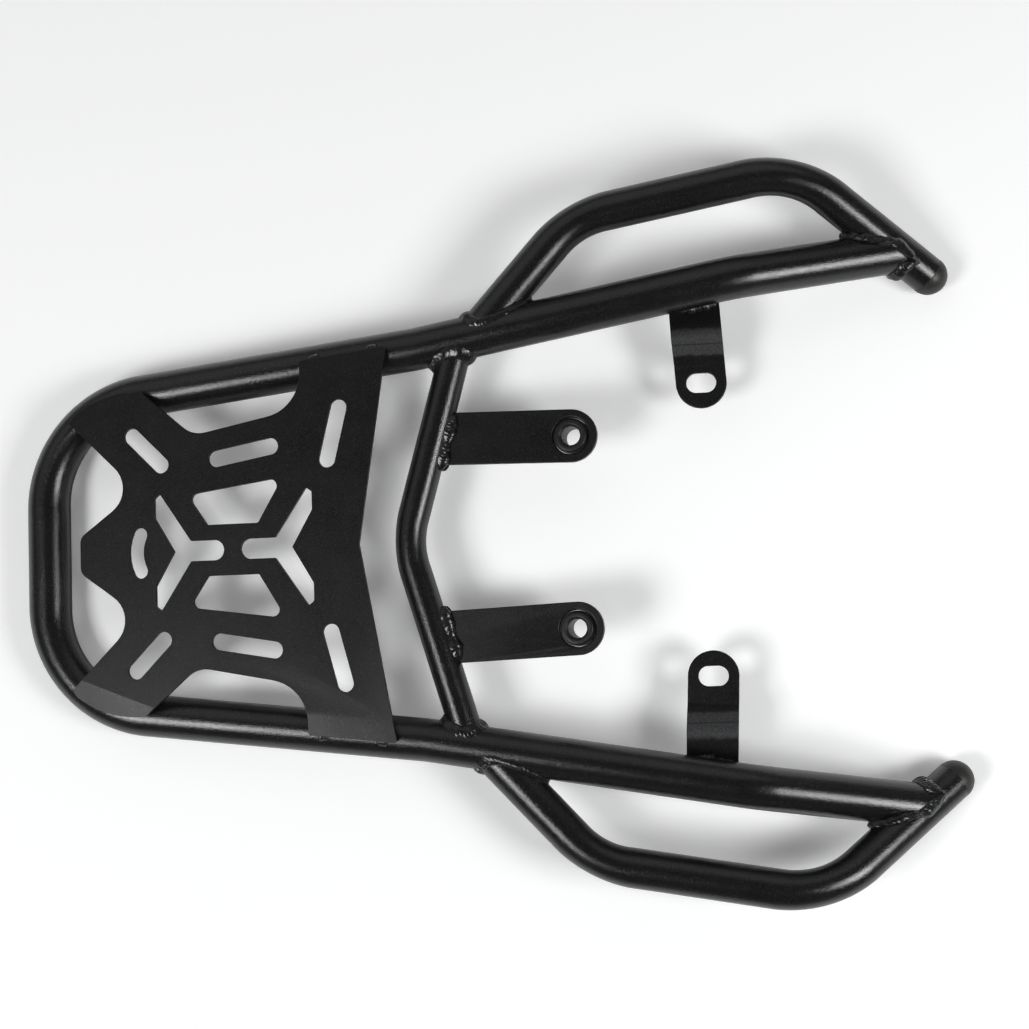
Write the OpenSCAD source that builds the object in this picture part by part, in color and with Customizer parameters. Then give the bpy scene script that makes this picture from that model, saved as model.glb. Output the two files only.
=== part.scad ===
// Motorcycle luggage rack: a welded tube frame with a pierced top plate and two grab handles.
// Millimetres. Forward is +X, the rider's left is +Y and up is +Z.
// The pieces are drawn in the plane of the top plate, with the middle of the tail tube at
// x = 0 and the top of the plate at z = 0. seated() then tips the whole rack onto the floor,
// where it lies on its tail tube and on the two domed handle ends.

/* [Frame tube] */
// Outside diameter of the loop tube
loop_od = 25.4; // [22:0.1:28]
// Wall of every tube
tube_wall = 2; // [1.2:0.1:2.6]
// Radius of the tube bends, at the centreline
bend_r = 60; // [45:1:70]
// Radius of the two wider bends at the tail, at the centreline
tail_bend_r = 67; // [60:1:72]
// Share of its width that a tube loses in the middle of a bend
bend_squeeze = 0.06; // [0:0.01:0.1]
// Width of the loop between tube centres at the tail
tail_w = 180.6; // [170:0.2:190]
// Distance from the tail tube to the widening of the loop
shoulder_x = 232; // [226:1:240]
// Width of the loop between tube centres where it widens
shoulder_w = 232; // [228:1:238]
// Distance from the tail tube to where the sides bend down
knee_x = 421; // [415:1:427]
// Width of the loop between tube centres where the sides bend down
knee_w = 294.6; // [288:0.2:300]
// Distance from the tail tube to the front ends of the loop, on the handle legs
front_x = 519; // [512:1:523]

/* [Cross tube] */
// Outside diameter of the cross tube
cross_od = 19; // [16:0.5:22]
// Distance from the tail tube to the point of the cross tube
cross_mid_x = 223; // [221:1:228]
// Distance from the tail tube to the ends of the cross tube
cross_end_x = 258; // [250:1:264]

/* [Grab handles] */
// Outside diameter of the handle tube
handle_od = 23; // [20:0.1:25]
// Distance from the tail tube to where a handle leaves the loop
handle_rear_x = 267; // [262:1:272]
// Distance from the tail tube to the rear bend of a handle
rear_bend_x = 329; // [324:1:334]
// Width over the handles between tube centres at the rear bend
rear_bend_w = 377; // [371:1:383]
// Distance from the tail tube to the front bend of a handle
front_bend_x = 459; // [454:1:464]
// Width over the handles between tube centres at the front bend
front_bend_w = 418.4; // [412:0.2:424]
// Distance from the tail tube to the open end of a handle tube
handle_end_x = 535.5; // [530:0.5:540]
// Width between tube centres at the open ends
handle_end_w = 301; // [296:1:308]
// Drop of the open ends below the plane of the loop
handle_drop = 41.4; // [36:0.2:46]

/* [End plugs] */
// Straight rim between the tube end and the dome
plug_rim = 1.6; // [1:0.1:3]
// Length of the shank inside the tube
plug_shank = 16; // [8:1:25]
// Clearance of the shank in the tube
plug_clearance = 0.15; // [0.1:0.05:0.4]

/* [Top plate] */
// Thickness of the sheet
plate_t = 3; // [2:0.5:4]
// Angle by which the ends of the arms are bent down onto the tube
flap_angle = 7; // [4:0.5:10]
// Distance of the bend line inside the tube centreline
crease_in = 11; // [9:0.5:12]
// Distance from the tail tube to the nose of the plate
nose_x = 26.8; // [24:0.2:30]
// Half width of the blunt nose
nose_half = 10.8; // [8:0.2:13]
// Distance from the tail tube to the point of the front edge
front_edge_x = 198; // [196:0.5:200]
// Slope of the front edge, as distance forward for each unit sideways
front_edge_slope = 0.165; // [0.12:0.005:0.2]
// Distance of the outer edge of the front arms beyond the tube centreline
front_arm_over = 2; // [1:0.2:3]
// Radius of the outer edge of the tail arms
tail_arm_r = 60.7; // [58:0.1:64]
// Distance from the tail tube to the rear edge of the front arms
front_arm_x = 164.4; // [162:0.2:167]
// Half width of the plate at its waist
waist_half = 69; // [66:0.5:71]
// Fillet radius in the notches beside the nose and at the waist
notch_r = 17; // [12:1:18]
// Fillet radius behind the front arms
arm_r = 25; // [20:1:28]
// Width of the strap slots
slot_w = 10; // [8:0.5:11]
// Width of the arms of the two Y-shaped openings
y_arm_w = 12; // [10:0.5:13]

/* [Mounting tabs] */
// Width of each tab
tab_w = 31; // [26:1:34]
// Thickness of each tab
tab_t = 4; // [3:0.5:6]
// Distance between the two sleeves
tab_spacing = 112; // [106:1:118]
// Distance from the tail tube to the sleeves in the tabs
sleeve_x = 324; // [318:1:330]
// Angle by which the tabs rise towards the front
tab_rise = 5; // [0:0.5:8]
// Angle by which the tabs close in towards the front
tab_toe = 2; // [0:0.5:4]
// Offset of the sleeves and the bracket slots towards the rider's left
mount_offset = 2.4; // [0:0.1:4]

/* [Sleeves] */
// Outside diameter of each sleeve
sleeve_od = 19; // [17:0.5:21]
// Bore for the mounting bolt
sleeve_bore = 11; // [8:0.1:12]
// Length of each sleeve
sleeve_len = 20; // [14:1:26]
// Height of the sleeve above the tab
sleeve_proud = 1; // [0.5:0.1:2]
// Width of the chamfer at each mouth of the bore
mouth_chamfer = 1.2; // [0.6:0.1:1.6]
// Width of the open groove between a sleeve and the hole in its tab
groove_w = 1.1; // [0.6:0.1:1.6]
// Depth of the groove, down to the shoulder of the sleeve
groove_depth = 1.5; // [1:0.1:2]
// Clearance between the shoulder of a sleeve and the hole in its tab
sleeve_clearance = 0.4; // [0.2:0.1:0.6]
// Width of the chamfers round the hole and round the top of the sleeve
rim_chamfer = 0.8; // [0.4:0.1:1]

/* [Front brackets] */
// Width of each strap
strap_w = 30; // [26:1:34]
// Thickness of each strap
strap_t = 4; // [3:0.5:5]
// Distance from the tail tube to the bolt slots
bracket_x = 400; // [396:1:404]
// Distance between the bolt slots of the two brackets
bracket_slot_spacing = 173; // [166:1:180]
// Depth of the slotted ends below the plane of the loop
bracket_drop = 18; // [16:0.5:22]
// Rise of the strap before it steps down, above its root
strap_hump = 7; // [4:0.5:9]
// Angle by which the straps lean forward on their way in
strap_skew = 3; // [0:0.5:6]
// Width of the bolt slot
bolt_slot_w = 11.8; // [9:0.1:13]
// Overall length of the bolt slot
bolt_slot_l = 17.6; // [14:0.1:21]

/* [Welds and fits] */
// Leg of the weld beads round the tubes
bead = 4.2; // [3:0.1:5.5]
// Crown of the weld beads over a straight fillet
bead_crown = 0.9; // [0.4:0.1:1.4]
// Radius of the straight beads above and below the tabs
tab_bead_r = 3.6; // [2.5:0.1:5]
// Distance by which those beads run on past the edges of a tab
tab_bead_over = 1.5; // [0:0.1:2.5]
// Radius of the straight beads between the loop and the brackets
bracket_bead_r = 5; // [3:0.1:5.5]
// Gap left between pieces that are welded together
joint_gap = 0.25; // [0.2:0.05:0.4]
// Gap at the front ends of the loop, which are wider than the handle legs they are coped to
root_gap = 0.8; // [0.6:0.1:1.2]

/* [Hidden] */

// Sides of the bent tubes, and the most that a bend turns between two rings
tube_sides = 32;
ring_turn = 9.5;
// Facets of round bars and of small bores
tube_fn = 64;
bore_fn = 48;
// Steps of a rounded corner, and the most that a drawn arc turns between two points
arc_steps = 10;
arc_turn = 9;
// Sections round a weld bead, and how far its outer edge leans away from the branch
bead_steps = 48;
toe_lean = 0.3;
far = 400;
black = [0.13, 0.13, 0.14];
sheet_black = [0.16, 0.16, 0.17];
bead_black = [0.2, 0.2, 0.21];

function unit(v) = v / norm(v);
function mirrored(p) = [p.x, -p.y, p.z];
// Point of the line through a and b at a given x
function at_x(a, b, x) = a + (b - a) * ((x - a.x) / (b.x - a.x));
// Rotation matrix whose columns are the given axes, with its origin at p
function axes(ex, ey, ez, p) = [[ex.x, ey.x, ez.x, p.x], [ex.y, ey.y, ez.y, p.y],
    [ex.z, ey.z, ez.z, p.z], [0, 0, 0, 1]];
// A direction square to d, as level as possible
function level_side(d) = unit(cross([0, 0, 1], d));

// The bent-down flaps touch the tube, which sets the height of the tube below the plate
tube_z = -(plate_t + joint_gap + loop_od / 2 / cos(flap_angle) + crease_in * tan(flap_angle));

// Left-hand points of the loop, from the tail to the front
tail_corner = [0, tail_w / 2, tube_z];
shoulder = [shoulder_x, shoulder_w / 2, tube_z];
knee = [knee_x, knee_w / 2, tube_z];
// Left-hand points of the handle, from the loop to the open end
handle_rear = at_x(shoulder, knee, handle_rear_x);
rear_bend = [rear_bend_x, rear_bend_w / 2, tube_z];
front_bend = [front_bend_x, front_bend_w / 2, tube_z];
handle_end = [handle_end_x, handle_end_w / 2, tube_z - handle_drop];
leg_dir = unit(handle_end - front_bend);
// The sides of the loop end on the centreline of the handle leg
loop_end = at_x(front_bend, handle_end, front_x);
// The cross tube ends on the centreline of the loop
cross_mid = [cross_mid_x, 0, tube_z];
cross_end = at_x(shoulder, knee, cross_end_x);

// Centre and turn of the bend at the tail corner
side_angle = atan((shoulder.y - tail_corner.y) / shoulder_x);
corner_turn = 90 - side_angle;
corner_centre = [tail_bend_r, tail_corner.y - tail_bend_r * tan(corner_turn / 2)];
// Direction from the bend centre to the middle of a tail arm
tail_arm_angle = 111.5;
tail_arm_dir = [cos(tail_arm_angle), sin(tail_arm_angle)];

// The rack lies on the tail tube and on the domes of the plugs
dome_centre = handle_end + leg_dir * plug_rim;
lie_run = norm([dome_centre.x, dome_centre.z - tube_z]);
lie = atan((tube_z - dome_centre.z) / dome_centre.x)
    - asin((loop_od - handle_od) / 2 / lie_run);
dome_x = dome_centre.x * cos(lie) - dome_centre.z * sin(lie);
tail_x = -tube_z * sin(lie);
mid_x = (dome_x + handle_od / 2 + tail_x - loop_od / 2) / 2;
floor_z = tube_z * cos(lie) - loop_od / 2;

module seated() {
    translate([-mid_x, 0, -floor_z]) rotate([0, -lie, 0]) children();
}

module both_sides() {
    children();
    mirror([0, 1, 0]) children();
}

// A solid rod from a to b, used to cope one tube to another
module rod(a, b, d_rod) {
    d = unit(b - a);
    side = level_side(d);
    multmatrix(axes(side, cross(d, side), d, a))
        cylinder(d = d_rod, h = norm(b - a), $fn = tube_fn);
}

function turn_at(p, i) = acos(unit(p[i] - p[i - 1]) * unit(p[i + 1] - p[i]));
// Rings round the bend of radius r at point i of a path, each as [centre, direction of the
// tube, squeeze]. The squeeze points away from the middle of the bend. A bend of full_turn or
// more takes the whole bend_squeeze.
full_turn = 45;
function bend_rings(p, i, r) =
    let (d_in = unit(p[i] - p[i - 1]), d_out = unit(p[i + 1] - p[i]), turn = turn_at(p, i),
        inward = unit(d_out - d_in * (d_in * d_out)),
        centre = p[i] - d_in * r * tan(turn / 2) + inward * r,
        share = bend_squeeze * min(1, turn / full_turn), steps = ceil(turn / ring_turn))
    [for (k = [0 : steps]) let (a = turn * k / steps, out = d_in * sin(a) - inward * cos(a))
        [centre + r * out, d_in * cos(a) + inward * sin(a), out * sqrt(share * sin(180 * k / steps))]];
function path_rings(p, radii) = let (n = len(p) - 1, none = [0, 0, 0])
    concat([[p[0], unit(p[1] - p[0]), none]], [for (i = [1 : n - 1]) each bend_rings(p, i, radii[i - 1])],
        [[p[n], unit(p[n] - p[n - 1]), none]]);
// A side direction for each ring, carried along the tube without twist
function carried_sides(rings, side, i = 0) = i == len(rings) ? []
    : let (d = rings[i][1], s = unit(side - (side * d) * d))
        concat([s], carried_sides(rings, s, i + 1));

// Height along a branch, at angle a and distance r from its axis, at which it meets the
// surface of radius rm round a tube through its origin; d and m are the two directions
function meet(d, m, e1, e2, r, a, rm) =
    let (v = r * (cos(a) * e1 + sin(a) * e2), vp = v - (v * m) * m, dp = d - (d * m) * m,
        qa = dp * dp, qb = vp * dp, qc = vp * vp - rm * rm)
    (-qb + sqrt(max(0, qb * qb - qa * qc))) / qa;
function on_branch(o, d, e1, e2, r, a, s) = o + r * (cos(a) * e1 + sin(a) * e2) + s * d;

// Points of one wall of a tube, ring after ring. An end that is coped to another tube has
// that tube's direction and radius in its cope, and a plain end has an empty one.
function wall_points(rings, sides, r, cope_a, cope_b) = [for (i = [0 : len(rings) - 1])
    let (o = rings[i][0], t = rings[i][1], q = rings[i][2], e1 = sides[i], e2 = cross(t, e1),
        cope = i == 0 ? cope_a : i == len(rings) - 1 ? cope_b : [], d = i == 0 ? t : -t)
    for (k = [0 : tube_sides - 1]) let (a = 360 * k / tube_sides,
        reach = len(cope) == 0 ? 0 : meet(d, cope[0], e1, e2, r, a, cope[1]),
        point = on_branch(o, d, e1, e2, r, a, reach))
        point - ((point - o) * q) * q];

// A tube bent at every inner point of the path, swept as an outer and an inner wall
module bent_tube(p, radii, od, cope_a = [], cope_b = []) {
    rings = path_rings(p, radii);
    sides = carried_sides(rings, level_side(rings[0][1]));
    n = tube_sides;
    last = len(rings) - 1;
    inner = (last + 1) * n;
    walls = [for (i = [0 : last - 1], k = [0 : n - 1]) let (j = (k + 1) % n, a = i * n, b = a + n)
        each [[a + k, b + k, b + j, a + j],
            [inner + a + k, inner + a + j, inner + b + j, inner + b + k]]];
    ends = [for (k = [0 : n - 1]) let (j = (k + 1) % n, b = last * n)
        each [[k, j, inner + j, inner + k], [b + k, inner + b + k, inner + b + j, b + j]]];
    polyhedron(concat(wall_points(rings, sides, od / 2, cope_a, cope_b),
        wall_points(rings, sides, od / 2 - tube_wall, cope_a, cope_b)), concat(walls, ends));
}

// Copes: the direction and the radius of the tube that an end is fitted to
loop_cope = [unit(knee - shoulder), loop_od / 2 + joint_gap];
leg_cope = [leg_dir, handle_od / 2 + root_gap];

// Loop: one tube bent round the tail, widening along the sides and dropping at the front
module main_loop_tube() {
    left = [tail_corner, shoulder, knee, loop_end];
    right = [for (i = [len(left) - 1 : -1 : 0]) mirrored(left[i])];
    radii = [bend_r, bend_r, tail_bend_r, tail_bend_r, bend_r, bend_r];
    color(black) seated()
        bent_tube(concat(right, left), radii, loop_od, [mirrored(leg_cope[0]), leg_cope[1]], leg_cope);
}

// Cross tube: bent once in the middle, coped to the inner sides of the loop
module cross_tube() {
    color(black) seated() bent_tube([mirrored(cross_end), cross_mid, cross_end], [bend_r], cross_od,
        [mirrored(loop_cope[0]), loop_cope[1]], loop_cope);
}

// Grab handle: leaves the loop, runs beside it and comes back in over its front end
module handle_tube() {
    color(black) seated()
        bent_tube([handle_rear, rear_bend, front_bend, handle_end], [bend_r, bend_r], handle_od, loop_cope);
}

// Domed plug pressed into the open end of a handle
module end_plug() {
    side = level_side(leg_dir);
    shank_d = handle_od - 2 * tube_wall - 2 * plug_clearance;
    color(black) seated() multmatrix(axes(side, cross(leg_dir, side), leg_dir, handle_end)) {
        translate([0, 0, -plug_shank]) cylinder(d = shank_d, h = plug_shank + plug_rim, $fn = tube_fn);
        cylinder(d = handle_od, h = plug_rim, $fn = tube_fn);
        translate([0, 0, plug_rim]) intersection() {
            sphere(d = handle_od, $fn = tube_fn);
            cylinder(d = handle_od + 2, h = handle_od, $fn = tube_fn);
        }
    }
}

// Arc that rounds the corner at point b, as a list of points; each point is [x, y, radius]
function corner_arc(a, b, c) =
    let (pa = [a.x, a.y], pb = [b.x, b.y], pc = [c.x, c.y],
        u = unit(pa - pb), v = unit(pc - pb),
        half = acos(u * v) / 2, r = b.z,
        centre = pb + unit(u + v) * r / sin(half),
        start = pb + u * r / tan(half) - centre,
        sweep = (180 - 2 * half) * sign(u.x * v.y - u.y * v.x))
    r == 0 ? [pb] : [for (k = [0 : arc_steps]) let (t = -sweep * k / arc_steps)
        centre + [start.x * cos(t) - start.y * sin(t), start.x * sin(t) + start.y * cos(t)]];
function rounded(p) = [for (i = [0 : len(p) - 1])
    each corner_arc(p[(i + len(p) - 1) % len(p)], p[i], p[(i + 1) % len(p)])];

// Outer edge of the front arms, parallel to the side of the loop
function arm_edge(x) = tail_corner.y + x * tan(side_angle) + front_arm_over / cos(side_angle);
// Where the front edge meets the outer edge of the front arms
front_corner_y = (arm_edge(0) + front_edge_x * tan(side_angle))
    / (1 - front_edge_slope * tan(side_angle));
// Where the sloping inner edge of a tail arm meets the slope of the nose
nose_slope = 0.74;
notch = [63, nose_half + (63 - nose_x) * nose_slope];
tail_arm_tip = [20.2, notch.y + (notch.x - 20.2)];
// Outer edge of a tail arm: an arc that runs just past the centrelines of the tail and the side
tail_arm_over = 0.7;
arm_inset = tail_arm_r - tail_arm_over;
arm_centre = [arm_inset, tail_corner.y - arm_inset * tan(corner_turn / 2)];
function tail_edge(a) = arm_centre + tail_arm_r * [cos(a), sin(a)];
tail_edge_from = atan2(tail_arm_tip.y - arm_centre.y, tail_arm_tip.x - arm_centre.x);
tail_edge_to = 84.5;
waist_rear = [98, waist_half];
waist_front = [front_arm_x, waist_half + (front_arm_x - waist_rear.x) * 0.194];

// Left half of the plate's edge, from the nose to the point of the front edge
plate_half = concat(
    [[nose_x, nose_half, 7], [notch.x, notch.y, notch_r], [tail_arm_tip.x, tail_arm_tip.y, 1.5]],
    [for (k = [1 : arc_steps]) let (a = tail_edge_from + (tail_edge_to - tail_edge_from) * k / arc_steps)
        [tail_edge(a).x, tail_edge(a).y, k == arc_steps ? 2 : 0]],
    [[waist_rear.x, waist_rear.y, notch_r], [waist_front.x, waist_front.y, arm_r],
        [front_arm_x, arm_edge(front_arm_x), 1.5],
        [front_edge_x + front_edge_slope * front_corner_y, front_corner_y, 1.5]]);

module plate_edge() {
    turned = [for (i = [len(plate_half) - 1 : -1 : 0])
        [plate_half[i].x, -plate_half[i].y, plate_half[i].z]];
    polygon(rounded(concat(plate_half, [[front_edge_x, 0, 3]], turned)));
}

// Points on an arc round c from one angle up to, but without, another
function arc(c, r, from, to) = let (steps = ceil(abs(to - from) / arc_turn))
    [for (k = [0 : steps - 1]) let (t = from + (to - from) * k / steps) c + r * [cos(t), sin(t)]];

// A slot with round ends between two points
module slot_2d(a, b, w) {
    t = atan2(b.y - a.y, b.x - a.x);
    polygon(concat(arc(a, w / 2, t + 90, t + 270), arc(b, w / 2, t - 90, t + 90)));
}

// Y-shaped opening: two arms cut off square to the rack and a stem with a round end
module y_opening(stem, cut, tip) {
    h = y_arm_w / 2;
    root = h / sin(60);
    heel = (cut - root) / tan(30);
    polygon(rounded(concat(
        [[-root, 0, 0], [-cut, heel, 1.5], [-cut, tip - 2.6, 2], [-cut + 3.4, tip, 1], [h * tan(30), h, 1]],
        [for (p = arc([stem, 0], h, 90, -90)) [p.x, p.y, 0]],
        [[stem, -h, 0], [h * tan(30), -h, 1], [-cut + 3.4, -tip, 1], [-cut, -tip + 2.6, 2],
            [-cut, -heel, 1.5]])));
}

// Curved slot in the nose, swept round a centre in front of it
module nose_slot() {
    sweep_r = 26;
    slot_half = 24.4;
    end_r = 4.4;
    centre = [62 + sweep_r, 0];
    from = 180 - slot_half;
    to = 180 + slot_half;
    polygon(concat(arc(centre, sweep_r + end_r, from, to),
        arc(centre + sweep_r * [cos(to), sin(to)], end_r, to, to + 180),
        arc(centre, sweep_r - end_r, to, from),
        arc(centre + sweep_r * [cos(from), sin(from)], end_r, from + 180, from + 360)));
}

module plate_openings() {
    both_sides() {
        slot_2d([180, 51], [187.6, 81], slot_w);
        slot_2d([60.4, 70], [77.8, 52.3], slot_w);
        slot_2d([112.6, 54.4], [145.5, 60.2], slot_w);
        polygon(rounded([[106, 15.2, 1.5], [137.2, 15.2, 1.5], [152.8, 41.6, 4], [94, 33.4, 4]]));
    }
    translate([92.3, 0]) y_opening(17.8, 18.7, 34.8);
    translate([150.8, 0]) rotate(180) y_opening(18.4, 19.4, 34.8);
    nose_slot();
}

// Bend lines of the arm ends: [point on the line, outward angle]
front_crease = [[front_arm_x, tail_corner.y + front_arm_x * tan(side_angle) - crease_in / cos(side_angle)],
    90 + side_angle];
tail_crease = [corner_centre + tail_arm_dir * (tail_bend_r - crease_in), tail_arm_angle];

// Frame of an arm end: x outwards down its slope, y along the bend line, z square to its top
module on_flap(crease) {
    translate([crease[0].x, crease[0].y, 0]) rotate([0, 0, crease[1]]) rotate([0, flap_angle, 0])
        children();
}

// Blocks over the four arm ends, between two heights above their tops. The front ones end
// behind the front arms, and the rear ones before them.
module flap_blocks(low, high) {
    both_sides() {
        on_flap(front_crease) translate([-30, -far, low]) cube([far, far + 12, high - low]);
        on_flap(tail_crease) translate([-30, -60, low]) cube([far, far + 60, high - low]);
    }
}

// The sheet before it is cut out: level in the middle, sloping down beyond each bend line
module bent_sheet() {
    spare = 20;
    difference() {
        union() {
            translate([-far, -far, -plate_t]) cube([2 * far, 2 * far, spare]);
            flap_blocks(-plate_t, spare);
        }
        translate([-far, -far, 0]) cube([2 * far, 2 * far, 3 * spare]);
        flap_blocks(0, 3 * spare);
    }
}

// Top plate: one sheet, cut out, with its four arm ends bent down onto the loop
module top_plate() {
    deep = 60;
    color(sheet_black) seated() intersection() {
        bent_sheet();
        translate([0, 0, -deep]) linear_extrude(height = 2 * deep) difference() {
            plate_edge();
            plate_openings();
        }
    }
}

// Tabs and brackets are drawn for the left. side is 1 for the left one and -1 for the right
// one, whose drawing is mirrored afterwards.
cross_slope = atan((cross_end.x - cross_mid.x) / cross_end.y);
function sleeve_at(side) = [sleeve_x, tab_spacing / 2 + side * mount_offset];
// Length of a tab in plan, from its sleeve back to the centreline of the cross tube
function tab_run(side) = (sleeve_x - cross_mid_x - sleeve_at(side).y * tan(cross_slope))
    / (cos(tab_toe) + sin(tab_toe) * tan(cross_slope));
function tab_reach(side) = tab_run(side) / cos(tab_rise);
tab_hole = sleeve_od + 2 * groove_w;

// Frame of a tab: x along it, z square to it, zero on the cross tube's centreline
module on_tab(side) {
    root = sleeve_at(side) + tab_run(side) * [-cos(tab_toe), sin(tab_toe)];
    translate([root.x, root.y, tube_z]) rotate([0, -tab_rise, -tab_toe]) children();
}

// Mounting tab: a flat bar with a round end, coped to the front of the cross tube
module mounting_tab(side) {
    reach = tab_reach(side);
    color(sheet_black) seated() difference() {
        on_tab(side) translate([0, 0, -tab_t / 2]) linear_extrude(height = tab_t) difference() {
            union() {
                translate([-tab_w / 4, -tab_w / 2]) square([reach + tab_w / 4, tab_w]);
                translate([reach, 0]) circle(d = tab_w, $fn = tube_fn);
            }
            translate([reach, 0]) circle(d = tab_hole, $fn = bore_fn);
            rotate(90 - cross_slope + tab_toe) translate([-far / 2, 0]) square([far, far]);
        }
        on_tab(side) translate([reach, 0, tab_t / 2 - rim_chamfer])
            cylinder(d1 = tab_hole, d2 = tab_hole + 4 * rim_chamfer, h = 2 * rim_chamfer, $fn = bore_fn);
        rod(cross_mid, cross_end, cross_od + 2 * joint_gap);
    }
}

// Sleeve: a turned spacer with a shoulder that fits the hole of the tab, welded in from below
module tab_sleeve(side) {
    top = tab_t / 2 + sleeve_proud;
    foot = top - sleeve_len;
    outer = sleeve_od / 2;
    bore = sleeve_bore / 2;
    shoulder = (tab_hole - sleeve_clearance) / 2;
    color(black) seated() on_tab(side) translate([tab_reach(side), 0, 0]) rotate_extrude($fn = tube_fn)
        polygon([[bore + mouth_chamfer, foot], [outer, foot], [outer, -tab_t / 2], [shoulder, -tab_t / 2],
            [shoulder, tab_t / 2 - groove_depth], [outer, tab_t / 2 - groove_depth],
            [outer, top - rim_chamfer], [outer - rim_chamfer, top], [bore + mouth_chamfer, top],
            [bore, top - mouth_chamfer], [bore, foot + mouth_chamfer]]);
}

// Front bracket frame: x along the width of the strap, y inwards from the loop's centreline
function slot_at(side) = [bracket_x, bracket_slot_spacing / 2 + side * mount_offset];
function bracket_root(side) = let (out = at_x(shoulder, knee, bracket_x).y)
    [bracket_x - tan(strap_skew) * (out - slot_at(side).y), out];
function slot_reach(side) = norm(slot_at(side) - bracket_root(side));
strap_root_z = tube_z - loop_od / 2 - joint_gap - strap_t / 2;
strap_end_z = tube_z - bracket_drop;
// Middle line of the strap seen from the side, as [distance inwards, height, bend radius]
function strap_line(side) = [[-6, strap_root_z, 0], [9, strap_root_z, 6],
    [28, strap_root_z + strap_hump, 4], [36.5, strap_root_z + strap_hump / 2, 0],
    [43, strap_end_z, 4], [slot_reach(side) + strap_w / 2, strap_end_z, 0]];

// Band of even thickness along a line of points, with mitred corners
function offset_side(p, d) = [for (i = [0 : len(p) - 1])
    let (u = unit(p[i] - p[max(i - 1, 0)] + (i == 0 ? p[1] - p[0] : [0, 0])),
        v = i == len(p) - 1 ? u : unit(p[i + 1] - p[i]),
        n = unit([-u.y - v.y, u.x + v.x]))
    p[i] + n * d / (n * [-v.y, v.x])];
function open_rounded(p) = [for (i = [0 : len(p) - 1])
    each (i == 0 || i == len(p) - 1 ? [[p[i].x, p[i].y]] : corner_arc(p[i - 1], p[i], p[i + 1]))];

module strap_side(side, spare = 0) {
    line = open_rounded(strap_line(side));
    upper = offset_side(line, strap_t / 2 + spare);
    lower = offset_side(line, -strap_t / 2 - spare);
    polygon(concat(upper, [for (i = [len(lower) - 1 : -1 : 0]) lower[i]]));
}

module on_bracket(side) {
    root = bracket_root(side);
    translate([root.x, root.y, 0]) rotate([0, 0, 180 + strap_skew]) children();
}

// The strap before its end is cut out, or a wider and thicker one
module strap_bar(side, spare = 0) {
    translate([strap_w / 2 + spare, 0, 0]) rotate([90, 0, -90]) mirror([1, 0, 0])
        linear_extrude(height = strap_w + 2 * spare) strap_side(side, spare);
}

// Front bracket: a joggled strap under the loop, with a bolt slot near its round end
module front_bracket(side) {
    reach = slot_reach(side);
    bolt_half = (bolt_slot_l - bolt_slot_w) / 2;
    color(sheet_black) seated() on_bracket(side) intersection() {
        strap_bar(side);
        translate([0, 0, tube_z - far / 2]) linear_extrude(height = far) difference() {
            union() {
                translate([-strap_w / 2, -far]) square([strap_w, far + reach]);
                translate([0, reach]) circle(d = strap_w, $fn = tube_fn);
            }
            translate([0, reach]) rotate(-strap_skew)
                slot_2d([-bolt_half, 0], [bolt_half, 0], bolt_slot_w);
        }
    }
}

// Distance of a point from the axis through o, as a vector, and the point moved to radius r
function off_axis(p, o, m) = p - o - ((p - o) * m) * m;
function onto(p, o, m, r) = p + off_axis(p, o, m) * (r / norm(off_axis(p, o, m)) - 1);

// Weld bead round a branch tube, as sections of seven points, each a fillet with a crown.
// A section starts in the corner, climbs the branch, runs over its crown as a quadratic curve
// and comes back along the surface of the main tube.
function bead_section(o, d, m, e1, e2, rb, rm, a) =
    let (root = on_branch(o, d, e1, e2, rb, a, meet(d, m, e1, e2, rb, a, rm)),
        normal = unit(off_axis(root, o, m)),
        away = cos(a) * e1 + sin(a) * e2 - toe_lean * d,
        along = unit(away - (away * normal) * normal),
        up = root + bead * d, out = onto(root + bead * along, o, m, rm),
        top = root + (bead * sqrt(0.5) + 2 * bead_crown) * unit(cos(a) * e1 + sin(a) * e2 + normal))
    [root, up, for (t = [0.25, 0.5, 0.75]) (1 - t) ^ 2 * up + 2 * t * (1 - t) * top + t ^ 2 * out,
        out, onto(root + bead / 2 * along, o, m, rm)];

module round_bead(o, d, m, branch_od, main_od, main_gap = joint_gap) {
    e1 = unit(m - (m * d) * d);
    rb = branch_od / 2 + joint_gap;
    rm = main_od / 2 + main_gap;
    points = [for (k = [0 : bead_steps - 1])
        each bead_section(o, d, m, e1, cross(d, e1), rb, rm, 360 * k / bead_steps)];
    faces = [for (k = [0 : bead_steps - 1], j = [0 : 6])
        let (n = (k + 1) % bead_steps, i = (j + 1) % 7) [k * 7 + j, n * 7 + j, n * 7 + i, k * 7 + i]];
    color(bead_black) seated() polyhedron(points, faces);
}

module handle_rear_weld() {
    round_bead(handle_rear, unit(rear_bend - handle_rear), unit(knee - shoulder), handle_od, loop_od);
}

module handle_front_weld() {
    round_bead(loop_end, unit(knee - loop_end), leg_dir, loop_od, handle_od, root_gap / 2);
}

module cross_weld() {
    round_bead(cross_end, unit(cross_mid - cross_end), unit(knee - shoulder), cross_od, loop_od);
}

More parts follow.
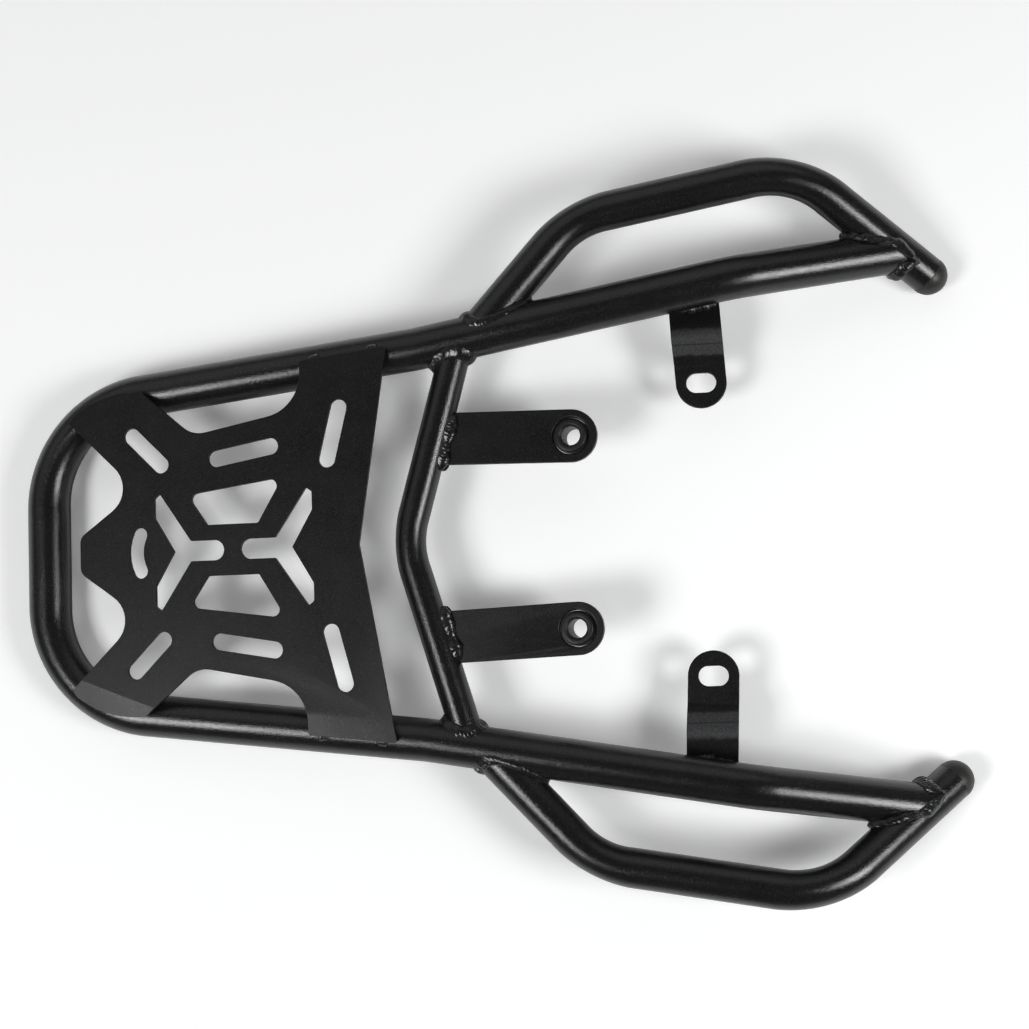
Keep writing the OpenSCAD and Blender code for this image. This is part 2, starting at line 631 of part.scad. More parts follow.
// Straight beads above and below the root of a tab
module tab_weld(side) {
    sink = 0.6;
    lift = 0.4;
    root_out = cross_od / 2 / cos(cross_slope) - sink;
    run = tab_w + 2 * tab_bead_over;
    cut = tab_t / 2 + joint_gap;
    color(bead_black) seated() difference() {
        on_tab(side) for (s = [-1, 1])
            translate([root_out, 0, s * (tab_t / 2 + lift)]) rotate([90, 0, tab_toe - cross_slope])
                cylinder(r = tab_bead_r, h = run, center = true, $fn = 32);
        rod(cross_mid, cross_end, cross_od + 2 * joint_gap);
        on_tab(side) translate([0, -tab_w, -cut]) cube([far, 2 * tab_w, 2 * cut]);
    }
}

// Straight bead in the hollow between the loop and the top of a bracket. It runs along the
// loop, and ends just inside the edges of the strap.
module bracket_weld(side) {
    top_z = strap_root_z + strap_t / 2 + joint_gap;
    loop_angle = atan2(knee.y - shoulder.y, knee.x - shoulder.x);
    root = bracket_root(side);
    inset = 1.48 * bracket_bead_r;
    lift = 1;
    beyond = at_x(shoulder, knee, knee.x + strap_w);
    color(bead_black) seated() difference() {
        intersection() {
            translate([root.x, root.y, top_z + lift]) rotate([0, 0, loop_angle])
                translate([0, -inset, 0]) rotate([0, 90, 0])
                    cylinder(r = bracket_bead_r, h = 2 * strap_w, center = true, $fn = 32);
            on_bracket(side) translate([1 - strap_w / 2, -strap_w, top_z - strap_t])
                cube([strap_w - 2, 2 * strap_w, 4 * strap_t]);
        }
        rod(shoulder, beyond, loop_od + 2 * joint_gap);
        on_bracket(side) strap_bar(side, joint_gap);
    }
}

// Short tacks on the tube, against the outer edges of the plate's arms
module plate_tack_welds() {
    tack_r = 2.6;
    tack_l = 9;
    sink = 0.4;
    edge_gap = joint_gap + 0.1;
    arm_front_x = front_edge_x + front_edge_slope * front_corner_y;
    color(bead_black) seated() both_sides() {
        for (x = [front_arm_x + tack_l - 1, arm_front_x - tack_l])
            difference() {
                translate([x, arm_edge(x), tube_z + loop_od / 2 - sink]) rotate([0, 0, side_angle])
                    rotate([0, 90, 0]) cylinder(r = tack_r, h = tack_l, center = true, $fn = 32);
                rod(tail_corner, shoulder, loop_od + 2 * joint_gap);
                translate([x, arm_edge(x) + edge_gap, 0]) rotate([0, 0, side_angle])
                    translate([-far / 2, -far, -far / 2]) cube([far, far, far]);
            }
    }
}

module right() {
    mirror([0, 1, 0]) children();
}

main_loop_tube();
cross_tube();
handle_tube();  // left_handle_tube
right() handle_tube();  // right_handle_tube
end_plug();  // left_end_plug
right() end_plug();  // right_end_plug
top_plate();
mounting_tab(1);  // left_mounting_tab
right() mounting_tab(-1);  // right_mounting_tab
tab_sleeve(1);  // left_tab_sleeve
right() tab_sleeve(-1);  // right_tab_sleeve
front_bracket(1);  // left_front_bracket
right() front_bracket(-1);  // right_front_bracket
handle_rear_weld();  // left_handle_rear_weld
right() handle_rear_weld();  // right_handle_rear_weld
handle_front_weld();  // left_handle_front_weld
right() handle_front_weld();  // right_handle_front_weld
cross_weld();  // left_cross_weld
right() cross_weld();  // right_cross_weld
tab_weld(1);  // left_tab_weld
right() tab_weld(-1);  // right_tab_weld
bracket_weld(1);  // left_bracket_weld
right() bracket_weld(-1);  // right_bracket_weld
plate_tack_welds();
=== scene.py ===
"""Looks of a welded motorcycle luggage rack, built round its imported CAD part.

The pieces follow in the order in which the rack is put together: the bent tubes, their plugs,
the pressed plate, tabs and brackets, the sleeves, the weld beads, and last the studio.
"""

import bmesh
import bpy
import numpy as np
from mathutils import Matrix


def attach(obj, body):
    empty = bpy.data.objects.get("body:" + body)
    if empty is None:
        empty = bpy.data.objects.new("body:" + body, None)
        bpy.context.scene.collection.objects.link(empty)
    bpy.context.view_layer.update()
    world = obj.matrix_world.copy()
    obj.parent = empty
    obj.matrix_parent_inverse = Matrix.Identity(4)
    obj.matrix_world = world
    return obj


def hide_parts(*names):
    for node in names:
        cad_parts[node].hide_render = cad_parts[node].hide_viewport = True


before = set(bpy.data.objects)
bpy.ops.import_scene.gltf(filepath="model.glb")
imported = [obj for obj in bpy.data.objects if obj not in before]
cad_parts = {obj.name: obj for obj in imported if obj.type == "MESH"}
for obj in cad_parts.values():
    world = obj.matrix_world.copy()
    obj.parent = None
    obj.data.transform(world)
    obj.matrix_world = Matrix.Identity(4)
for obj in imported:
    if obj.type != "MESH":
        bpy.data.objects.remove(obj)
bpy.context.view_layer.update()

# Loop tube. One steel tube, bent round the tail, opening out along both sides and dropping at
# the front. Both ends are coped to the handle legs. The coat is black powder with a fine grain.
# Sizes are millimetres in the plane of the plate, as drawn, before the rack is laid down.
mm = 0.001
loop_d = 25.4
wall = 2.0
bend_r = 60.0
tail_bend_r = 67.0
bend_squeeze = 0.06
full_turn = np.radians(45)
plate_t = 3.0
joint_gap = 0.25
leg_gap = 0.6
flap_angle = np.radians(7)
crease_in = 11.0
loop_z = -(plate_t + joint_gap + loop_d / 2 / np.cos(flap_angle) + crease_in * np.tan(flap_angle))
tail_corner = np.array([0, 90.3, loop_z])
shoulder = np.array([232, 116, loop_z])
knee = np.array([421, 147.3, loop_z])
handle_d = 23.0
rear_bend = np.array([329, 188.5, loop_z])
front_bend = np.array([459, 209.2, loop_z])
handle_end = np.array([535.5, 150.5, loop_z - 41.4])
loop_end_x = 519
plug_rim = 1.6


def unit(v):
    """A vector, or each row of an array of them, divided by its length."""
    return v / np.linalg.norm(v, axis=-1, keepdims=True)


def between(a, b, x):
    """The point at distance x forward on the straight line through a and b."""
    return a + (b - a) * (x - a[0]) / (b[0] - a[0])


leg = unit(handle_end - front_bend)
loop_end = between(front_bend, handle_end, loop_end_x)
dome_centre = handle_end + leg * plug_rim
lie = np.arctan2(loop_z - dome_centre[2], dome_centre[0]) - np.arcsin(
    (loop_d - handle_d) / 2 / np.hypot(dome_centre[0], dome_centre[2] - loop_z)
)
dome_x = dome_centre[0] * np.cos(lie) - dome_centre[2] * np.sin(lie)
tail_x = -loop_z * np.sin(lie)
middle_x = (dome_x + handle_d / 2 + tail_x - loop_d / 2) / 2
floor_z = loop_z * np.cos(lie) - loop_d / 2


def turned_down(v):
    """Directions turned by the angle at which the rack lies, about the sideways axis."""
    x, y, z = np.moveaxis(np.asarray(v, float), -1, 0)
    return np.stack([x * np.cos(lie) - z * np.sin(lie), y, x * np.sin(lie) + z * np.cos(lie)], -1)


def laid_down(p):
    """Millimetres in the plane of the plate to metres on the floor: turned, then shifted so
    that the middle of the rack is over the origin and its lowest point touches the floor."""
    return (turned_down(p) - [middle_x, 0, floor_z]) * mm


def right_of(points):
    """The other hand of points: mirrored in the middle plane of the rack."""
    return np.asarray(points) * [1.0, -1.0, 1.0]


def bent_line(corners, radii, step=5.0, turn_step=np.radians(2.5)):
    """Points and directions along a line through corners, each inner one rounded by an arc:
    its centre is the bend radius from both straights, which are cut at its ends. The third
    array points away from the arc's centre, and its squared length is the share of the width
    that the tube loses there: a sine from nothing at the ends of a bend to all in its middle."""
    points, ways, flats = [], [], []
    start = corners[0]
    for i in range(1, len(corners)):
        way = unit(corners[i] - corners[i - 1])
        last = i == len(corners) - 1
        if not last:
            ahead = unit(corners[i + 1] - corners[i])
            turn = np.arccos(way @ ahead)
            inward = unit(ahead - way * (way @ ahead))
            r = radii[i - 1]
            setback = r * np.tan(turn / 2)
        stop = corners[i] if last else corners[i] - way * setback
        n = max(2, int(np.ceil(np.linalg.norm(stop - start) / step)))
        along = np.linspace(0, 1, n, endpoint=last)[:, None]
        points.append(start + (stop - start) * along)
        ways.append(np.repeat(way[None], n, 0))
        flats.append(np.zeros((n, 3)))
        if not last:
            a = np.linspace(0, turn, int(np.ceil(turn / turn_step)) + 1, endpoint=False)[:, None]
            out = way * np.sin(a) - inward * np.cos(a)
            points.append(stop + inward * r + r * out)
            ways.append(way * np.cos(a) + inward * np.sin(a))
            share = bend_squeeze * min(1, turn / full_turn) * np.sin(np.pi * a / turn)
            flats.append(out * np.sqrt(share))
            start = corners[i] + ahead * setback
    return np.concatenate(points), np.concatenate(ways), np.concatenate(flats)


def meeting_height(way, main, e1, e2, r, a, main_r):
    """How far along a branch, from the main tube's axis, its line at angle a and radius r
    meets the main tube: the root of a quadratic in the distance from the main axis. Where the
    line passes the tube by, it is the place where it passes closest."""
    v = r * (np.cos(a)[:, None] * e1 + np.sin(a)[:, None] * e2)
    v_off = v - (v @ main)[:, None] * main
    w_off = way - (way @ main) * main
    qa = w_off @ w_off
    qb = v_off @ w_off
    qc = (v_off * v_off).sum(-1) - main_r * main_r
    return (-qb + np.sqrt(np.maximum(0, qb * qb - qa * qc))) / qa


def tube_grid(corners, radii, d, cope_start=None, cope_end=None, sides=72, spare_rings=7):
    """Outer and inner wall of a bent tube as one closed grid: rings of points at the tube's
    radius round its line, run forward outside and back inside. A coped end is moved along
    the tube to where it meets the tube it is fitted to, given as (direction, radius), and the
    rings that it could reach past are left out."""
    line, ways, flats = bent_line(corners, radii)
    side = unit(np.cross([0, 0, 1], ways))
    up = np.cross(ways, side)
    a = np.linspace(0, 2 * np.pi, sides, endpoint=False)
    walls = []
    for r in (d / 2, d / 2 - wall):
        ring = r * (np.cos(a)[:, None] * side[:, None] + np.sin(a)[:, None] * up[:, None])
        ring = ring - (ring * flats[:, None]).sum(-1, keepdims=True) * flats[:, None]
        rings = line[:, None] + ring
        for row, cope, sign in ((0, cope_start, 1), (-1, cope_end, -1)):
            if cope is None:
                continue
            reach = meeting_height(sign * ways[row], cope[0], side[row], up[row], r, a, cope[1])
            rings[row] += sign * reach[:, None] * ways[row]
        if cope_start is not None:
            rings = np.delete(rings, slice(1, 1 + spare_rings), 0)
        if cope_end is not None:
            rings = np.delete(rings, slice(-1 - spare_rings, -1), 0)
        walls.append(rings)
    return laid_down(np.concatenate([walls[0], walls[1][::-1]]))


def grid_piece(name, grids, replaced, material, wrap_rows=False):
    """A mesh piece from one or more grids of points of the same size. Each point is joined to
    its neighbours by four-sided faces, round to the first column, and to the first row where
    the rows wrap. It stands for the CAD nodes it names."""
    grids = np.reshape(grids, (-1,) + np.shape(grids)[-3:])
    count, rows, columns = grids.shape[:3]
    number = np.arange(count * rows * columns).reshape(count, rows, columns)
    r = np.arange(rows if wrap_rows else rows - 1)[:, None]
    c = np.arange(columns)[None]
    r2, c2 = (r + 1) % rows, (c + 1) % columns
    faces = np.stack([number[:, r, c], number[:, r, c2], number[:, r2, c2], number[:, r2, c]], -1)
    mesh = bpy.data.meshes.new(name)
    mesh.from_pydata(grids.reshape(-1, 3), [], faces.reshape(-1, 4))
    return finished(name, mesh, replaced, material)


def finished(name, mesh, replaced, material, sharp=np.radians(38)):
    """An object of the mesh with its doubles joined, so that poles close, and its faces turned
    outwards. It is smooth but for edges sharper than sharp."""
    work = bmesh.new()
    work.from_mesh(mesh)
    bmesh.ops.remove_doubles(work, verts=work.verts, dist=2e-6)
    bmesh.ops.recalc_face_normals(work, faces=work.faces)
    work.to_mesh(mesh)
    work.free()
    mesh.shade_smooth()
    mesh.set_sharp_from_angle(angle=sharp)
    piece = bpy.data.objects.new(name, mesh)
    bpy.context.scene.collection.objects.link(piece)
    mesh.materials.append(material)
    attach(piece, "root")
    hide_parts(*replaced)
    return piece


def wired(tree, kind, given, out=0, **settings):
    """A shader node of a kind, with its settings, whose sockets are given numbers or the
    outputs of other nodes. Gives its output."""
    node = tree.nodes.new("ShaderNode" + kind)
    for key, setting in settings.items():
        setattr(node, key, setting)
    for key, value in given.items():
        if isinstance(value, bpy.types.NodeSocket):
            tree.links.new(value, node.inputs[key])
        else:
            node.inputs[key].default_value = value
    return node.outputs[out]


def maths(tree, operation, *given):
    """One step of arithmetic on numbers or the outputs of nodes."""
    return wired(tree, "Math", dict(enumerate(given)), operation=operation)


def spread(tree, value, start, end, low, high):
    """A value stretched from the range start to end to the range low to high."""
    ends = {"From Min": start, "From Max": end, "To Min": low, "To Max": high}
    return wired(tree, "MapRange", {"Value": value, **ends}, "Result")


def blended(tree, below, above, share):
    """A colour laid over another, as far as the share says."""
    return wired(tree, "Mix", {"A": below, "B": above, "Factor": share}, "Result", data_type="RGBA")


# Noise cycles for each metre of coat: first the wide forms, then the grain.
cloud_noise, patch_noise, peel_noise = 55, 38, 600
speck_noise, grain_noise, gloss_noise = 1900, 1400, 1700
# Noise for the ragged edge and the grain of the painted sheen band on the brackets.
sheen_edge_noise, sheen_grain_noise = 260, 1100


def powder_coat(name, colour, rough, grain, peel, gloss=0.6, painted_sheen=None):
    """Powder coat on steel. The colour has faint clouds and fine paler specks, the roughness
    varies a little in patches and from grain to grain, and the bump is a fine grain over a
    shallow orange peel. grain and peel are heights in metres. The last argument asks for a band
    of painted sheen, a paler grey with a rougher coat where light falls on a sloped face, and a
    line of painted shade along its crease. It gives the distances from the rack's middle plane
    at which the band starts, ends and has its crease."""
    material = bpy.data.materials.new(name)
    material.use_nodes = True
    tree = material.node_tree
    shader = tree.nodes["Principled BSDF"]
    place = tree.nodes.new("ShaderNodeTexCoord").outputs["Object"]

    def noise(scale, detail, fineness=0.5):
        given = {"Vector": place, "Scale": scale, "Detail": detail, "Roughness": fineness}
        return wired(tree, "TexNoise", given, "Fac")

    clouds = tree.nodes.new("ShaderNodeValToRGB")
    for stop, position, share in zip(clouds.color_ramp.elements, (0.35, 0.65), (0.8, 1.2)):
        stop.position = position
        stop.color = [share * c for c in colour] + [1]
    tree.links.new(noise(cloud_noise, 4, 0.6), clouds.inputs["Fac"])
    speck = [4 * c for c in colour] + [1]
    speckled = spread(tree, noise(speck_noise, 0), 0.6, 0.75, 0, 0.9)
    shown = blended(tree, clouds.outputs["Color"], speck, speckled)

    patches = spread(tree, noise(patch_noise, 3), 0.3, 0.7, rough - 0.02, rough + 0.03)
    uneven = spread(tree, noise(gloss_noise, 1), 0.3, 0.7, -0.07, 0.07)
    roughness = maths(tree, "ADD", patches, uneven)

    # Painted sheen: a paler grey band stands in for the light on the brackets' sloped middles.
    if painted_sheen:
        inner, outer, crease_at = painted_sheen
        straight = maths(tree, "ABSOLUTE", wired(tree, "SeparateXYZ", {"Vector": place}, "Y"))
        ragged = spread(tree, noise(sheen_edge_noise, 3), 0.2, 0.8, -0.0009, 0.0009)
        aside = maths(tree, "ADD", straight, ragged)
        rising = spread(tree, aside, inner - 0.0006, inner + 0.0006, 0, 1)
        falling = spread(tree, aside, outer - 0.0012, outer + 0.0012, 1, 0)
        # Painted shade: the sheen is weaker along the crease, which shows as a darker line there.
        off_crease = maths(tree, "ABSOLUTE", maths(tree, "SUBTRACT", straight, crease_at))
        crease_shade = spread(tree, off_crease, 0.0002, 0.0006, 0.4, 1)
        grainy = spread(tree, noise(sheen_grain_noise, 2), 0.35, 0.65, 0.45, 1)
        sheen_share = maths(tree, "MULTIPLY", maths(tree, "MULTIPLY", rising, falling), crease_shade)
        sheen_share = maths(tree, "MULTIPLY", sheen_share, grainy)
        # The sheen is painted as a pale grey over the coat. The roughness rises in the band as
        # well.
        shown = blended(tree, shown, (0.05, 0.051, 0.053, 1), sheen_share)
        roughness = maths(tree, "ADD", roughness, maths(tree, "MULTIPLY", sheen_share, 0.3))

    waves = wired(tree, "Bump", {"Distance": peel, "Height": noise(peel_noise, 2)}, "Normal")
    grains = {"Distance": grain, "Height": noise(grain_noise, 2, 0.6), "Normal": waves}
    tree.links.new(wired(tree, "Bump", grains, "Normal"), shader.inputs["Normal"])
    tree.links.new(shown, shader.inputs["Base Color"])
    tree.links.new(roughness, shader.inputs["Roughness"])
    shader.inputs["Specular IOR Level"].default_value = gloss
    return material


tube_coat = powder_coat("tube_coat", (0.0058, 0.0059, 0.0062), 0.19, 0.00012, 0.00005)
loop_way = unit(knee - shoulder)
leg_fit = (leg, handle_d / 2 + leg_gap)
left_side = np.array([tail_corner, shoulder, knee, loop_end])
grid_piece(
    "loop_tube",
    tube_grid(np.concatenate([right_of(left_side[::-1]), left_side]),
              [bend_r, bend_r, tail_bend_r, tail_bend_r, bend_r, bend_r], loop_d,
              (right_of(leg_fit[0]), leg_fit[1]), leg_fit),
    ["main_loop_tube"], tube_coat, wrap_rows=True,
)

# Cross tube. A thinner tube with one shallow bend, coped between the sides of the loop. It
# carries the mounting tabs, and wears the same coat.
cross_d = 19.0
cross_middle = np.array([223, 0, loop_z])
cross_end = between(shoulder, knee, 258)
loop_fit = (loop_way, loop_d / 2 + joint_gap)
grid_piece(
    "cross_tube_bent",
    tube_grid(np.array([right_of(cross_end), cross_middle, cross_end]), [bend_r], cross_d,
              (right_of(loop_way), loop_fit[1]), loop_fit, sides=56),
    ["cross_tube"], tube_coat, wrap_rows=True,
)

# Grab handles. Each leaves the side of the loop, runs beside it and comes back in over the
# loop's front end, where it goes on a little further and stays open.
handle_rear = between(shoulder, knee, 267)
handle_line = np.array([handle_rear, rear_bend, front_bend, handle_end])


def as_drawn(points):
    """The left hand of points, as the sizes here give it."""
    return points


hands = (("left", 1, as_drawn), ("right", -1, right_of))
for name, hand, hold in hands:
    grid = tube_grid(hold(handle_line), [bend_r, bend_r], handle_d, (hold(loop_way), loop_fit[1]))
    grid_piece(f"{name}_handle", grid, [f"{name}_handle_tube"], tube_coat, wrap_rows=True)

# End plugs. A moulded plastic plug with a domed head closes each open handle end. Its rim
# stands against the tube with a small round, which shows as a fine seam. The plastic is a
# little duller than the coat, with a fine spark-eroded grain.
plug_plastic = powder_coat("plug_plastic", (0.0125, 0.0125, 0.0108), 0.45, 0.00005, 0.00003, 0.5)
plug_r = handle_d / 2
plug_clearance = 0.15
shank_len = 16
shank_r = plug_r - wall - plug_clearance
seam_round = 0.35


def turned_grid(profile, foot, way, sides=64):
    """A turned piece: profile points (distance along the axis, radius) carried round it."""
    side = unit(np.cross([0, 1, 0], way))
    up = np.cross(way, side)
    a = np.linspace(0, 2 * np.pi, sides, endpoint=False)
    along = np.asarray(profile)[:, None, :1]
    radius = np.asarray(profile)[:, None, 1:]
    ring = np.cos(a)[:, None] * side + np.sin(a)[:, None] * up
    return laid_down(foot + along * way + radius * ring)


t = np.linspace(0, np.pi / 2, 20)
dome = np.stack([plug_rim + plug_r * np.sin(t), plug_r * np.cos(t)], -1)
t = np.linspace(0, np.pi / 2, 5)
rim_edge = np.stack([seam_round * (1 - np.cos(t)), plug_r - seam_round * (1 - np.sin(t))], -1)
shank = [[-shank_len, 0], [-shank_len, shank_r], [0, shank_r]]
plug_profile = np.concatenate([shank, rim_edge, dome])
for name, hand, hold in hands:
    grid_piece(f"{name}_plug", turned_grid(plug_profile, hold(handle_end), hold(leg)),
               [f"{name}_end_plug"], plug_plastic)

# Top plate. One sheet, laser cut and bent down at its four arms. The coat pulls back a little
# from the cut edges, which are slightly round, and is duller on the flat sheet than on tube.
sheet_black = (0.0068, 0.0069, 0.0072)
sheet_rough, sheet_grain, sheet_gloss = 0.33, 0.00007, 0.22
sheet_coat = powder_coat("sheet_coat", sheet_black, sheet_rough, sheet_grain, 0.00002, sheet_gloss)


def eased_copy(node, name, material, edge):
    """A copy of a CAD node with its loose corners joined, flat faces made whole, and every
    sharp edge eased by a small round of the given width, in metres."""
    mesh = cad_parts[node].data.copy()
    mesh.materials.clear()
    work = bmesh.new()
    work.from_mesh(mesh)
    bmesh.ops.remove_doubles(work, verts=work.verts, dist=2e-6)
    bmesh.ops.dissolve_limit(work, angle_limit=np.radians(0.4), verts=work.verts, edges=work.edges)
    work.to_mesh(mesh)
    work.free()
    mesh.name = name
    piece = finished(name, mesh, [node], material)
    bevel = piece.modifiers.new("eased", "BEVEL")
    bevel.width = edge
    bevel.segments = 3
    bevel.limit_method = "ANGLE"
    bevel.angle_limit = np.radians(40)
    bevel.harden_normals = True
    return piece


eased_copy("top_plate", "pressed_plate", sheet_coat, 0.0006)

# Mounting tabs and front brackets. Flat bar with a round end, sheared, bent and coated in the
# same black, so their edges are eased like the plate's. The brackets' sloped middles carry a
# painted sheen, a paler grey band, with a line of painted shade along the crease.
sheen_painted_coat = powder_coat("sheen_painted_coat", sheet_black, sheet_rough, sheet_grain, 0.00003,
                           sheet_gloss, painted_sheen=(0.1048, 0.1194, 0.1106))
for name, hand, hold in hands:
    eased_copy(f"{name}_mounting_tab", f"{name}_tab", sheet_coat, 0.0006)
    eased_copy(f"{name}_front_bracket", f"{name}_bracket", sheen_painted_coat, 0.0005)

# Sleeves. A spacer turned from bar, with a shoulder that sits in the hole of the tab and leaves
# an open groove round its top. The bore takes an M10 bolt, and every edge is broken.
tab_t = 4.0
tab_rise, tab_toe = np.radians(5), np.radians(2)
tab_half, mount_offset = 56.0, 2.4
sleeve_x = 324.0
sleeve_r, bore_r, shoulder_r = 9.5, 5.5, 10.4
sleeve_top, sleeve_len = 3.0, 20.0
mouth, groove_z = 1.2, 0.5
sleeve_coat = powder_coat("sleeve_coat", (0.0075, 0.0076, 0.0079), 0.4, 0.00006, 0.00003, 0.35)
cross_way = unit(cross_end - cross_middle)
cross_tan = cross_way[0] / cross_way[1]


def tab_place(side):
    """Root of a tab on the cross tube's axis, its three directions (along, across, square to
    it) and its length from root to sleeve, for the left (1) or, unmirrored, the right (-1)."""
    y = tab_half + side * mount_offset
    slant = np.cos(tab_toe) + np.sin(tab_toe) * cross_tan
    run = (sleeve_x - cross_middle[0] - y * cross_tan) / slant
    root = np.array([sleeve_x - run * np.cos(tab_toe), y + run * np.sin(tab_toe), loop_z])
    level = np.array([np.cos(tab_toe), -np.sin(tab_toe), 0])
    along = level * np.cos(tab_rise) + np.array([0, 0, np.sin(tab_rise)])
    across = np.array([np.sin(tab_toe), np.cos(tab_toe), 0])
    return root, along, across, np.cross(along, across), run / np.cos(tab_rise)


def curved(a, b, c, t):
    """The quadratic curve that leaves a towards b and comes to c from b, at shares t of it."""
    return (1 - t) ** 2 * a + 2 * t * (1 - t) * b + t**2 * c


def eased_profile(corners, steps=5):
    """A closed outline with its corners rounded. Each row is a point and a distance: the
    corner is replaced by a quadratic curve between points at that distance on both its sides."""
    point, ease = corners[:, :2], corners[:, 2:]
    start = point + ease * unit(np.roll(point, 1, 0) - point)
    end = point + ease * unit(np.roll(point, -1, 0) - point)
    t = np.linspace(0, 1, steps)[:, None]
    return curved(start[:, None], point[:, None], end[:, None], t).reshape(-1, 2)


sleeve_foot = sleeve_top - sleeve_len
sleeve_profile = eased_profile(np.array([
    [sleeve_foot, bore_r + mouth, 0.3], [sleeve_foot, sleeve_r, 0.6],
    [-tab_t / 2, sleeve_r, 0.2], [-tab_t / 2, shoulder_r, 0.3],
    [groove_z, shoulder_r, 0.3], [groove_z, sleeve_r, 0.3],
    [sleeve_top, sleeve_r, 1.2], [sleeve_top, bore_r + mouth, 0.5],
    [sleeve_top - mouth, bore_r, 0.6], [sleeve_foot + mouth, bore_r, 0.6],
]))
for name, hand, hold in hands:
    root, along, across, square, reach = tab_place(hand)
    grid = turned_grid(sleeve_profile, hold(root + reach * along), hold(square), 96)
    grid_piece(f"{name}_sleeve", grid, [f"{name}_tab_sleeve"], sleeve_coat, wrap_rows=True)

# Weld beads. Each joint of two tubes has a fillet bead laid round it by hand, with the
# overlapping scales of the weld pool under the coat. The powder runs thinner over weld metal,
# so it is glossier there.
bead_coat = powder_coat("bead_coat", (0.0062, 0.0063, 0.0066), 0.21, 0.00006, 0.0001, 0.6)
toe_lean = 0.3
over_bead = np.linspace(0, 1, 15)


def wander(s, seed, waves=9, shortest=5.0, longest=60.0):
    """A smooth random value along a length s in millimetres: a sum of sines of random phase
    whose wavelengths lie between shortest and longest."""
    rng = np.random.default_rng(seed)
    length = np.geomspace(shortest, longest, waves)
    phase = rng.uniform(0, 2 * np.pi, waves)
    return np.sin(2 * np.pi * s[..., None] / length + phase).sum(-1) / np.sqrt(waves)


def scale_lift(s, height, length, lag, shake, swell, seed):
    """Height of the scales of a bead, for lengths s along it and points from toe to toe: a
    saw-tooth wave of the given length that lags at both toes and is shaken at random, with a
    random swelling, fading to nothing at the toes as a power of a sine."""
    edge = (2 * over_bead - 1) ** 2
    phase = (s[:, None] - lag * edge + shake * wander(s, seed + 2)[:, None]) / length
    tooth = 1 - (phase % 1) ** 1.6
    rise = tooth - 0.5 + swell * wander(s, seed + 3)[:, None]
    return height * rise * np.sin(np.pi * over_bead) ** 0.7


def joint_bead(name, origin, way, main, branch_r, main_r, bead_leg, crown, replaced, seed):
    """A bead round the joint of a branch with a main tube. At each angle round the branch, the
    section runs from the branch over its crown to the main tube, as a quadratic curve with
    scales raised on it, and back to the corner between them."""
    e1 = unit(main - (main @ way) * way)
    e2 = np.cross(way, e1)
    a = np.linspace(0, 2 * np.pi, 420, endpoint=False)
    out = np.cos(a)[:, None] * e1 + np.sin(a)[:, None] * e2
    reach = meeting_height(way, main, e1, e2, branch_r, a, main_r)
    root = origin + branch_r * out + reach[:, None] * way

    def off_axis(p):
        return p - origin - ((p - origin) @ main)[:, None] * main

    def onto_main(p):
        v = off_axis(p)
        return p + v * (main_r / np.linalg.norm(v, axis=-1, keepdims=True) - 1)

    normal = unit(off_axis(root))
    away = out - toe_lean * way
    along = unit(away - (away * normal).sum(-1, keepdims=True) * normal)
    step = np.linalg.norm(np.roll(root, -1, 0) - root, axis=-1)
    s = np.concatenate([[0], np.cumsum(step)[:-1]])
    size = bead_leg * (1 + 0.06 * wander(s, seed))[:, None]
    up = root + size * way
    toe = onto_main(root + size * (1 + 0.1 * wander(s, seed + 1))[:, None] * along)
    top = root + (size * np.sqrt(0.5) + 2 * crown) * unit(out + normal)
    arc = curved(up[:, None], top[:, None], toe[:, None], over_bead[:, None])
    lift = scale_lift(s, 0.4 + 0.35 * crown, 2.0, 1.5, 0.5, 0.35, seed)
    arc = arc + lift[..., None] * unit(out + normal)[:, None]
    base = np.stack([onto_main(root + 0.5 * size * along), root], 1)
    section = np.concatenate([arc, base], 1)
    return grid_piece(name, laid_down(section), replaced, bead_coat, wrap_rows=True)


# Each joint has its name, the branch's foot, the branch's and the main tube's direction, both
# radii with the gaps that the bead bridges, and the leg and crown of the bead.
front_gap = 0.4
handle_r, loop_r, cross_r = handle_d / 2, loop_d / 2, cross_d / 2
joints = (
    ("handle_rear", handle_rear, unit(rear_bend - handle_rear), loop_way,
     handle_r + joint_gap, loop_r + joint_gap, 3.5, 0.0),
    ("handle_front", loop_end, unit(knee - loop_end), leg,
     loop_r + joint_gap, handle_r + front_gap, 4.6, 0.9),
    ("cross", cross_end, unit(cross_middle - cross_end), loop_way,
     cross_r + joint_gap, loop_r + joint_gap, 3.9, 0.0),
)
for k, (joint, origin, way, main, branch_r, main_r, bead_leg, crown) in enumerate(joints):
    for name, hand, hold in hands:
        joint_bead(f"{name}_{joint}_bead", hold(origin), hold(way), hold(main), branch_r, main_r,
                   bead_leg, crown, [f"{name}_{joint}_weld"], 10 * k + 5 * (hand < 0))

# Straight beads. Short runs laid in a corner: above and below the root of each tab, between
# the loop and the top of each bracket, and four tacks along the outer edges of the plate.
# Sections are in millimetres out and up from the middle of the run.
tab_section = [(7.3, 6.0), (13.9, 6.5), (13.7, 1.9), (9.2, 2.0)]
bracket_section = [(10.2, -7.6), (14.8, -8.8), (13.7, -13.0), (7.5, -12.4)]
tack_section = [(-0.1, 2.1), (2.4, 1.9), (3.1, -1.3), (-0.2, -0.3)]
tab_run, bracket_run, tack_run = 34, 27, 7
tack_x, tack_over = (172.4, 208.0), 2.0
slot_x, slot_half, strap_skew = 400.0, 86.5, np.radians(3)
upwards = np.array([0, 0, 1])


